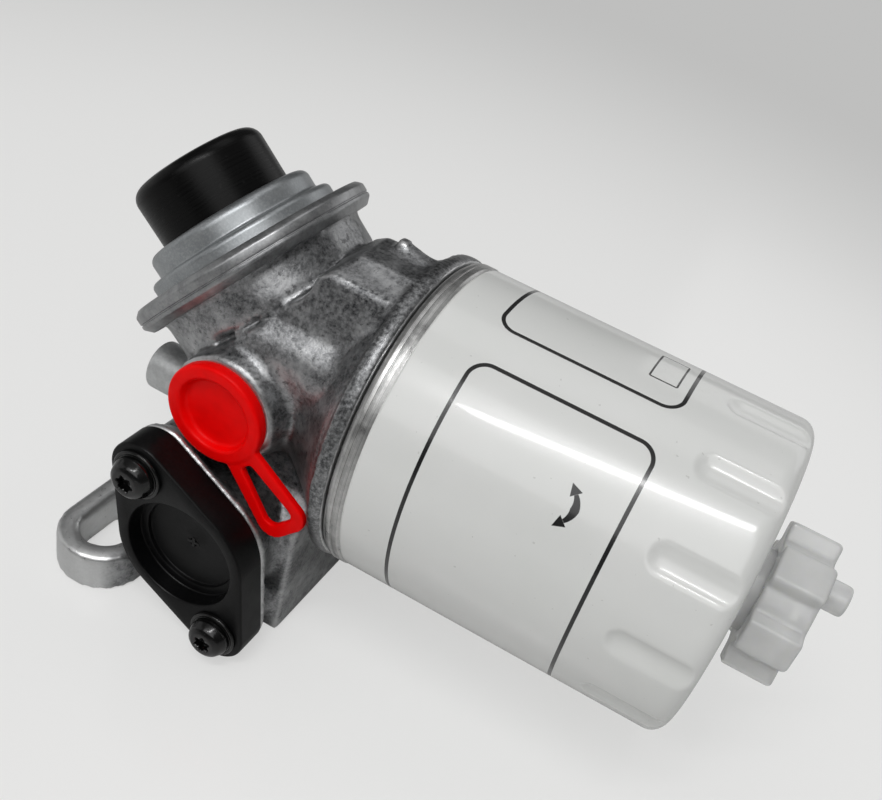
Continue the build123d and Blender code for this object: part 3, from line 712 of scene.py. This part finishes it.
# Heater cover: a thick black anodised aluminium flange over the fuel heater, milled with a
# stepped round recess and held by two screws. Its edges are broken and rubbed a little.
cover_back, cover_face = 43.0, 53.0
screw_x, screw_z, screw_hole = 15.0, 22.4, 3.3
lobes = [(0.0, 0.0, 21.2), (-screw_x, screw_z, 9.5), (screw_x, -screw_z, 9.5)]
rim_profile = [(0.25, cover_back), (0.0, 43.25), (0.0, 52.2), (0.08, 52.6), (0.30, 52.9), (0.62, cover_face)]
recess_profile = [
    (17.9, cover_face), (17.65, 52.9), (17.5, 52.65), (17.5, 47.9), (17.3, 47.6), (17.0, 47.5), (15.2, 47.5),
    (15.0, 47.4), (14.9, 47.2), (14.9, 46.3), (14.7, 46.05), (14.4, 46.0), (1.6, 46.0), (1.35, 45.9),
    (1.3, 45.7), (1.3, 45.4),
]


def wrapped(circles, inset, count=360):
    """Outline of a band stretched round circles, drawn in by inset, as (x, z) points."""
    points = []
    for step in range(count):
        angle = 2 * pi * step / count
        reach = [x * cos(angle) + z * sin(angle) + r - inset for x, z, r in circles]
        x, z, r = circles[reach.index(max(reach))]
        points.append((x + (r - inset) * cos(angle), z + (r - inset) * sin(angle)))
    return points


def cover_loop(form, points, depth):
    """Closed loop of points at a distance in front of the head's middle plane."""
    return [form.verts.new((0.001 * (cover_x + x), -0.001 * depth, 0.001 * (cover_z + z))) for x, z in points]


def filled(form, loops):
    """Flat face inside the first loop, with the other loops left open."""
    edges = []
    for loop in loops:
        for index in range(len(loop)):
            pair = (loop[index], loop[(index + 1) % len(loop)])
            edges.append(form.edges.get(pair) or form.edges.new(pair))
    bmesh.ops.triangle_fill(form, edges=edges, use_beauty=True, use_dissolve=False)


form = bmesh.new()
outer = [cover_loop(form, wrapped(lobes, inset), depth) for inset, depth in rim_profile]
wall(form, outer)
recess = [cover_loop(form, circle(0, 0, radius, 144), depth) for radius, depth in recess_profile]
wall(form, recess)
filled(form, [recess[-1]])
holes_front = [cover_loop(form, circle(x, z, screw_hole, 32), cover_face) for x, z, _ in lobes[1:]]
holes_back = [cover_loop(form, circle(x, z, screw_hole, 32), cover_back) for x, z, _ in lobes[1:]]
for front, back in zip(holes_front, holes_back):
    wall(form, [front, back])
filled(form, [outer[-1], recess[0]] + holes_front)
filled(form, [outer[0]] + holes_back)
heater_cover = smooth_piece("heater_flange", form, 28)


def from_line(tree, first, second):
    """Distance from a line, by the two ways across it."""
    return figure(tree, "SQRT", figure(tree, "ADD", times(tree, first, first), times(tree, second, second)))


cover_finish, made, surface, where = finish_nodes("black_cover")
grit = speckle(made, where, 0.0009, 4.0, 0.7)
cloud = speckle(made, where, 0.008, 4.0, 0.6)
x, y, z = parts(made, where)
from_middle = from_line(made, minus(made, x, 0.001 * cover_x), minus(made, z, 0.001 * cover_z))
disc = times(made, below(made, from_middle, 0.0145, 0.0150), above(made, y, -0.0470, -0.0463))
tone = graded(made, grit, (0.35, (0.002, 0.002, 0.0022)), (0.70, (0.005, 0.005, 0.0052)))
turning = times(made, speckle(made, from_middle, 0.0004, 2.0, 0.5), disc)
feed(made, surface, {
    "Base Color": mixed(made, times(made, disc, 0.8), tone, (0.009, 0.009, 0.0092)),
    "Roughness": spread(made, cloud, 0.30, 0.42), "Specular IOR Level": 0.16,
    "Normal": raised(made, turning, 0.00001, raised(made, grit, 0.000025)),
})
heater_cover.data.materials.append(cover_finish)
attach(heater_cover, "head")
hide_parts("heater_cover")


# Heater contact: the end of the heater's stud, staked over its hole in the middle of the
# cover's recess, so that it stands a little above the recess's floor as a small cross.
stake_back, stake_face = 45.5, 46.12
half_cross = [(-2.0, -0.45), (-0.45, -0.45), (-0.45, -1.7), (0.45, -1.7), (0.45, -0.45), (2.0, -0.45)]
cross = half_cross + [(-x, -z) for x, z in half_cross]
form = bmesh.new()
low = cover_loop(form, cross, stake_back)
high = cover_loop(form, cross, stake_face)
wall(form, [low, high])
filled(form, [low])
filled(form, [high])
stake = smooth_piece("heater_stake", form, 20)
stake.data.materials.append(plain_finish("staked_black", 0.002, 0.004, 0.0, (0.55, 0.70), 0.0008))
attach(stake, "head")


# Cover seal: a rubber O-ring in the groove of the cast pad. The heater cover squeezes it, so
# that no fuel leaks past the heater.
coated(rubber_finish, "cover_seal")


# Cover screws: two black pan-head steel screws with six-lobed sockets that hold the heater
# cover. Each is set at the turn where it came tight.
def size_tree(name, sizes):
    """Empty geometry tree with a geometry in and out and one named input for each size."""
    tree = bpy.data.node_groups.new(name, "GeometryNodeTree")
    tree.interface.new_socket("Geometry", in_out="INPUT", socket_type="NodeSocketGeometry")
    tree.interface.new_socket("Geometry", in_out="OUTPUT", socket_type="NodeSocketGeometry")
    for size in sizes:
        tree.interface.new_socket(size, in_out="INPUT", socket_type="NodeSocketFloat")
    return tree, tree.nodes.new("NodeGroupInput"), tree.nodes.new("NodeGroupOutput")


def grown(piece, tree, sizes):
    """Gives a piece the mesh that its tree makes with these sizes, and takes the tree off."""
    modifier = piece.modifiers.new(tree.name, "NODES")
    modifier.node_group = tree
    for item in tree.interface.items_tree:
        if item.item_type == "SOCKET" and item.in_out == "INPUT" and item.name in sizes:
            modifier[item.identifier] = float(sizes[item.name])
    bpy.context.view_layer.update()
    settled(piece)


def at_both_screws(name, pattern, finish, sizes):
    """Pattern set at both screw places on the cover, each turned by its own angle."""
    tree, start, end = size_tree(name, sizes)
    size = start.outputs
    ends = {}
    for socket, sign in (("Start Location", -1), ("Offset", 1)):
        ends[socket] = added(tree, "ShaderNodeCombineXYZ", {
            "X": figure(tree, "ADD", size["Middle X"], times(tree, size["Screw X"], sign)),
            "Y": size["Seat Y"],
            "Z": figure(tree, "ADD", size["Middle Z"], times(tree, size["Screw Z"], -sign)),
        }).outputs["Vector"]
    line = added(tree, "GeometryNodeMeshLine", {"Count": 2, **ends}, mode="END_POINTS")
    template = added(tree, "GeometryNodeObjectInfo", {"Object": pattern})
    number = added(tree, "GeometryNodeInputIndex", {}).outputs["Index"]
    turn = added(tree, "ShaderNodeCombineXYZ", {
        "Y": figure(tree, "ADD", size["First Turn"], times(tree, size["Turn"], number)),
    })
    copies = added(tree, "GeometryNodeInstanceOnPoints", {
        "Points": line.outputs["Mesh"], "Instance": template.outputs["Geometry"],
        "Rotation": turn.outputs["Vector"],
    })
    whole = added(tree, "GeometryNodeRealizeInstances", {"Geometry": copies.outputs["Instances"]})
    coat = added(tree, "GeometryNodeSetMaterial", {"Geometry": whole.outputs["Geometry"], "Material": finish})
    feed(tree, end, {"Geometry": coat.outputs["Geometry"]})
    piece = placed(name, bpy.data.meshes.new(name))
    grown(piece, tree, sizes)
    bpy.data.objects.remove(pattern)
    return piece


def six_lobed(radius, height, angle):
    """Radius of the screw, which is six-lobed inside its socket."""
    socket_radius, head_foot, lobe = 3.05, 1.5, 0.17
    if radius > socket_radius or height < head_foot:
        return radius
    return radius * (1 + lobe * cos(6 * angle)) / (1 + lobe)


front_line = axis_line((0, 0, 0), (0, -1, 0), (1, 0, 0))
screw = turned("screw_pattern", [
    (0, -19.4), (2.6, -19.4, 0.3), (3.0, -18.6, 0.3), (3.0, 0), (6.3, 0, 0.3), (6.3, 1.5, 1.0),
    (5.3, 3.7, 1.8), (3.9, 4.55, 1.2), (3.0, 4.6, 0.1), (2.75, 4.3, 0.1), (2.7, 2.3, 0.2), (0, 1.9),
], front_line, 96, six_lobed)
screw_finish = plain_finish("black_screw", 0.0015, 0.004, 0.0, (0.13, 0.22), 0.001, 0.000012)
washer_thick = 1.4
screw_seat = {
    "Middle X": 0.001 * cover_x, "Middle Z": 0.001 * cover_z, "Screw X": 0.001 * screw_x,
    "Screw Z": 0.001 * screw_z, "Seat Y": -0.001 * (cover_face + washer_thick),
    "First Turn": radians(8), "Turn": radians(23),
}
cover_screws = at_both_screws("cover_screws", screw, screw_finish, screw_seat)
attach(cover_screws, "head")
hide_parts("cover_screw_upper", "cover_screw_lower")


# Washers: a black plain washer under each screw head, with rounded edges and a faint ring
# where the head bears on it.
washer = turned("washer_pattern", [
    (3.3, 0), (7.6, 0, 0.2), (7.6, washer_thick, 0.45), (6.7, washer_thick, 0.1), (6.6, 1.32, 0.05),
    (6.5, 1.32, 0.05), (6.4, washer_thick, 0.1), (3.3, washer_thick),
], front_line, 96)
washer_seat = dict(screw_seat, **{"Seat Y": -0.001 * cover_face})
cover_washers = at_both_screws("screw_washers", washer, screw_finish, washer_seat)
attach(cover_washers, "head")
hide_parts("cover_washers")


# Inlet plug: a soft red moulded cap that keeps the port clean until the fuel line is fitted,
# with a raised rim, a shallow recess and a loop to pull it out by.
inlet_plug = moulded("red_port_plug", joined_copy("inlet_plug"), 0.00036, 5, 0.9)
red_finish, made, surface, where = finish_nodes("red_plastic")
cloud = speckle(made, where, 0.004, 3.0, 0.5)
grain = speckle(made, where, 0.0007, 3.0, 0.6)
feed(made, surface, {
    "Base Color": graded(made, cloud, (0.3, (0.86, 0.0002, 0.0003)), (0.7, (0.95, 0.0004, 0.0006))),
    "Roughness": spread(made, grain, 0.30, 0.42), "Specular IOR Level": 0.10,
    "Subsurface Weight": 0.15, "Subsurface Radius": (0.0020, 0.0003, 0.0003), "Subsurface Scale": 1.0,
    "Normal": raised(made, grain, 0.00002, raised(made, cloud, 0.00003)),
})
inlet_plug.data.materials.append(red_finish)
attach(inlet_plug, "plug")
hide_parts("inlet_plug")


# Canister gasket: a flat black rubber ring that seals the canister's lid to the head. It shows
# as the dark gap between them.
coated(rubber_finish, "canister_gasket")


# Seaming lid: a sheet steel lid whose edge is rolled together with the canister's mouth. The
# rolled seam is bare and brushed round by the seaming rollers.
seaming_lid = turned("rolled_seam_lid", [
    (31.0, 4.2), (31.0, 3.2), (36.25, 3.2), (36.25, 1.4), (37.25, 1.4), (37.25, 3.2), (44.5, 3.2),
    (44.5, 0.5, 0.3), (46.3, 0.5, 0.8), (47.0, 1.3, 0.5), (47.28, 2.1, 0.4), (47.28, 3.1, 0.08),
    (47.08, 3.2, 0.05), (47.08, 3.35, 0.05), (47.28, 3.45, 0.08), (47.28, 4.9, 0.4), (47.05, 5.45, 0.2),
    (46.9, 5.9), (44.5, 5.9), (44.5, 4.2),
], can_line, 288)
seam_finish, made, surface, where = finish_nodes("brushed_seam")
lines = speckle(made, parts(made, where)[0], 0.00022, 2.0, 0.6)
stain = speckle(made, where, 0.004, 5.0, 0.7)
tone = graded(made, stain, (0.3, (0.38, 0.38, 0.375)), (0.7, (0.66, 0.66, 0.65)))
feed(made, surface, {
    "Base Color": mixed(made, spread(made, lines, 0.5, 0.0, 0.35, 0.5), tone, 0.05),
    "Roughness": spread(made, stain, 0.26, 0.38), "Metallic": 0.95, "Normal": raised(made, lines, 0.00003),
})
seaming_lid.data.materials.append(seam_finish)
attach(seaming_lid, "canister")
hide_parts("seaming_lid")


# Tapping plate: a thick pressed steel plate with the canister's thread in its middle and a
# ring of holes for the fuel that goes in.
coated(bright_steel, "tapping_plate")


# Canister shell: a deep-drawn steel cup, with twelve grip flutes pressed in at its end and a
# dished middle round the drain. It is painted glossy white and printed in black.
can_radius, end_radius, end_corner, shoulder = 47.0, 42.0, 5.0, 98.5
# Each row is a radius and a distance from the mouth; rows are close where flutes are pressed.
shell_rows = [(can_radius, 5.9)]
shell_rows += [(can_radius, 6.5 + 6.4 * step) for step in range(11)]
shell_rows += [(can_radius, 72.0 + 0.55 * step) for step in range(48)]
for angle in range(0, 91, 9):
    turn = radians(angle)
    shell_rows.append((end_radius + end_corner * cos(turn), shoulder + end_corner * sin(turn)))
shell_rows += rounded([(41.9, 103.5), (34.0, 103.5, 1.5), (31.0, 101.0, 1.5), (30.0, 101.0)])
shell_rows += [(26.0, 101.0), (20.0, 101.0), (15.0, 101.0), (11.0, 101.0)]
shell_count = 360
form = bmesh.new()
rings = []
for radius, along in shell_rows:
    around = circle(0, 0, radius, shell_count)
    rings.append([form.verts.new(can_line @ Vector((x, y, along)) * 0.001) for x, y in around])
wall(form, rings)
can_shell = smooth_piece("printed_canister", form, 60)

flute_sizes = {
    "Axis Z": 0.001 * axis_z, "Mouth X": 0.001 * mouth_x, "Flute Angle": radians(30),
    "First Angle": radians(4), "Tool Reach": 0.0519, "Tool Radius": 0.0065, "From": 0.0833, "To": 0.1015,
    "Soft Edge": 0.0007,
}
tree, start, end = size_tree("pressed_flutes", flute_sizes)
size = start.outputs
x, y, z = parts(tree, added(tree, "GeometryNodeInputPosition", {}).outputs["Position"])
along = minus(tree, x, size["Mouth X"])
up = minus(tree, z, size["Axis Z"])
away = from_line(tree, y, up)
angle = figure(tree, "ARCTAN2", up, times(tree, y, -1.0))
half = times(tree, size["Flute Angle"], 0.5)
local = figure(tree, "WRAP", minus(tree, angle, size["First Angle"]), half, times(tree, half, -1.0))
outside = largest(tree, minus(tree, size["From"], along), minus(tree, along, size["To"]), 0.0)
sideways = times(tree, size["Tool Reach"], figure(tree, "SINE", local))
off_tool = figure(tree, "ADD", times(tree, outside, outside), times(tree, sideways, sideways))
room_left = minus(tree, times(tree, size["Tool Radius"], size["Tool Radius"]), off_tool)
tool = minus(tree, times(tree, size["Tool Reach"], figure(tree, "COSINE", local)),
             figure(tree, "SQRT", largest(tree, room_left, 0.0)))
share = figure(tree, "DIVIDE", figure(tree, "SMOOTH_MIN", away, tool, size["Soft Edge"]), away)
moved = added(tree, "ShaderNodeCombineXYZ", {
    "X": x, "Y": times(tree, y, share), "Z": figure(tree, "ADD", size["Axis Z"], times(tree, up, share)),
})
press = added(tree, "GeometryNodeSetPosition", {
    "Geometry": size["Geometry"], "Position": moved.outputs["Vector"]})
whole = added(tree, "GeometryNodeRealizeInstances", {"Geometry": press.outputs["Geometry"]})
coat = added(tree, "GeometryNodeSetMaterial", {"Geometry": whole.outputs["Geometry"]})
feed(tree, end, {"Geometry": coat.outputs["Geometry"]})

# The print is drawn on the unrolled wall: mm along the can from its mouth and mm round it.
opposite_print = radians(110)
paint_finish, made, surface, where = finish_nodes("white_paint")
x, y, z = parts(made, where)
along = times(made, minus(made, x, 0.001 * mouth_x), 1000.0)
angle = figure(made, "ARCTAN2", minus(made, z, 0.001 * axis_z), times(made, y, -1.0))
turned_to = figure(made, "WRAP", minus(made, angle, opposite_print), pi, -pi)
around = times(made, figure(made, "ADD", turned_to, opposite_print), can_radius)
blur, turn_blur = 0.05, 0.01
arrow_middle, arrow_ring, arrow_reach = (54.2, radians(34.5) * can_radius), 5.2, radians(42)
middle_stroke, stroke_taper = 1.15, 0.85
head_length, head_half_width = 3.0, 1.6


def printed_frame(low, high, from_angle, to_angle, corner, width):
    """Line of a printed frame with round corners, 1 on its ink."""
    middle_angle = radians((from_angle + to_angle) / 2) * can_radius
    half_angle = radians((to_angle - from_angle) / 2) * can_radius
    across = minus(made, figure(made, "ABSOLUTE", minus(made, along, (low + high) / 2)),
                   (high - low) / 2 - corner)
    upward = minus(made, figure(made, "ABSOLUTE", minus(made, around, middle_angle)), half_angle - corner)
    outside = from_line(made, largest(made, across, 0.0), largest(made, upward, 0.0))
    inside = figure(made, "MINIMUM", largest(made, across, upward), 0.0)
    distance = minus(made, figure(made, "ADD", outside, inside), corner)
    return below(made, figure(made, "ABSOLUTE", distance), width / 2 - blur, width / 2 + blur)


def arrow_head(way):
    """Point at one end of the curved arrow, 1 on its ink."""
    at = arrow_reach * way
    tip_x = minus(made, along, arrow_middle[0] + arrow_ring * cos(at))
    tip_y = minus(made, around, arrow_middle[1] + arrow_ring * sin(at))
    forward = figure(made, "ADD", times(made, tip_x, -sin(at) * way), times(made, tip_y, cos(at) * way))
    sideways = figure(made, "ADD", times(made, tip_x, cos(at)), times(made, tip_y, sin(at)))
    allowed = times(made, minus(made, 1.0, figure(made, "DIVIDE", forward, head_length)), head_half_width)
    room_left = minus(made, allowed, figure(made, "ABSOLUTE", sideways))
    return times(made, above(made, room_left, -blur, blur), above(made, forward, -blur, blur))


from_x = minus(made, along, arrow_middle[0])
from_y = minus(made, around, arrow_middle[1])
from_ring = figure(made, "ABSOLUTE", minus(made, from_line(made, from_x, from_y), arrow_ring))
on_arc = figure(made, "ABSOLUTE", figure(made, "ARCTAN2", from_y, from_x))
stroke = minus(made, middle_stroke, times(made, on_arc, stroke_taper))
arc = times(made, below(made, minus(made, from_ring, stroke), -blur, blur),
            below(made, on_arc, arrow_reach - turn_blur, arrow_reach + turn_blur))
ink = largest(
    made,
    printed_frame(20.6, 70.5, -64.0, 62.0, 5.0, 1.1),
    printed_frame(19.6, 70.0, 77.0, 176.0, 5.0, 1.1),
    printed_frame(59.0, 66.6, 87.5, 106.0, 0.4, 0.55),
    arc, arrow_head(1), arrow_head(-1),
)
cloud = speckle(made, where, 0.030, 3.0, 0.5)
specks = above(made, speckle(made, where, 0.0016, 2.0, 0.5), 0.735, 0.76)
orange_peel = speckle(made, where, 0.0022, 2.0, 0.5)
tone = graded(made, cloud, (0.3, (0.735, 0.745, 0.725)), (0.7, (0.765, 0.770, 0.755)))
tone = mixed(made, times(made, specks, 0.3), tone, (0.30, 0.30, 0.28))
feed(made, surface, {
    "Base Color": mixed(made, ink, tone, 0.010), "Roughness": spread(made, cloud, 0.20, 0.26),
    "Coat Weight": 0.35, "Coat Roughness": 0.06,
    "Normal": raised(made, orange_peel, 0.000006, raised(made, cloud, 0.00006)),
})
coat.inputs["Material"].default_value = paint_finish

grown(can_shell, tree, flute_sizes)
sheet = can_shell.modifiers.new("sheet", "SOLIDIFY")
sheet.thickness = 0.0009
sheet.offset = -1.0
settled(can_shell)
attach(can_shell, "canister")
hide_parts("can_shell")


# Filter element: pleated paper round a perforated tinned tube, glued into two tinned end caps,
# with a rubber grommet at the nipple.
paper_finish = plain_finish(
    "media_paper", (0.62, 0.50, 0.30), (0.74, 0.62, 0.40), 0.0, (0.80, 0.92), 0.001, 0.00004)
tin_finish = plain_finish(
    "tin_plate", (0.58, 0.58, 0.56), (0.68, 0.68, 0.66), 1.0, (0.22, 0.30), 0.004, 0.00001)
coated(paper_finish, "filter_media")
coated(tin_finish, "centre_tube", "element_cap_upper", "element_cap_lower")
coated(rubber_finish, "element_grommet")


# Element spring: a pressed sheet spring with four feet on the canister's floor. It holds the
# element to the plate.
coated(bright_steel, "element_spring")


# Drain socket and knob: milky translucent plastic. The socket is clamped in the canister's
# end, and the six-lobed knob is screwed on it; turning it lets the water out at its nozzle.
drain_finish, made, surface, where = finish_nodes("drain_plastic")
cloud = speckle(made, where, 0.006, 3.0, 0.5)
grain = speckle(made, where, 0.0009, 3.0, 0.6)
feed(made, surface, {
    "Base Color": graded(made, cloud, (0.3, (0.90, 0.91, 0.90)), (0.7, (0.95, 0.955, 0.945))),
    "Roughness": spread(made, grain, 0.16, 0.24), "IOR": 1.5, "Transmission Weight": 0.42,
    "Subsurface Weight": 0.5, "Subsurface Radius": (0.004, 0.004, 0.0036), "Subsurface Scale": 1.0,
    "Normal": raised(made, grain, 0.00001, raised(made, cloud, 0.00005)),
})
coated(drain_finish, "drain_socket")
drain_knob = moulded("drain_knob_moulded", joined_copy("drain_knob"), 0.00042, 9)
drain_knob.data.materials.append(drain_finish)
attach(drain_knob, "knob")
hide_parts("drain_knob")


# Drain seal: a black rubber ring on the knob's floor. It closes the drain when the knob is
# screwed home.
coated(rubber_finish, "drain_seal")
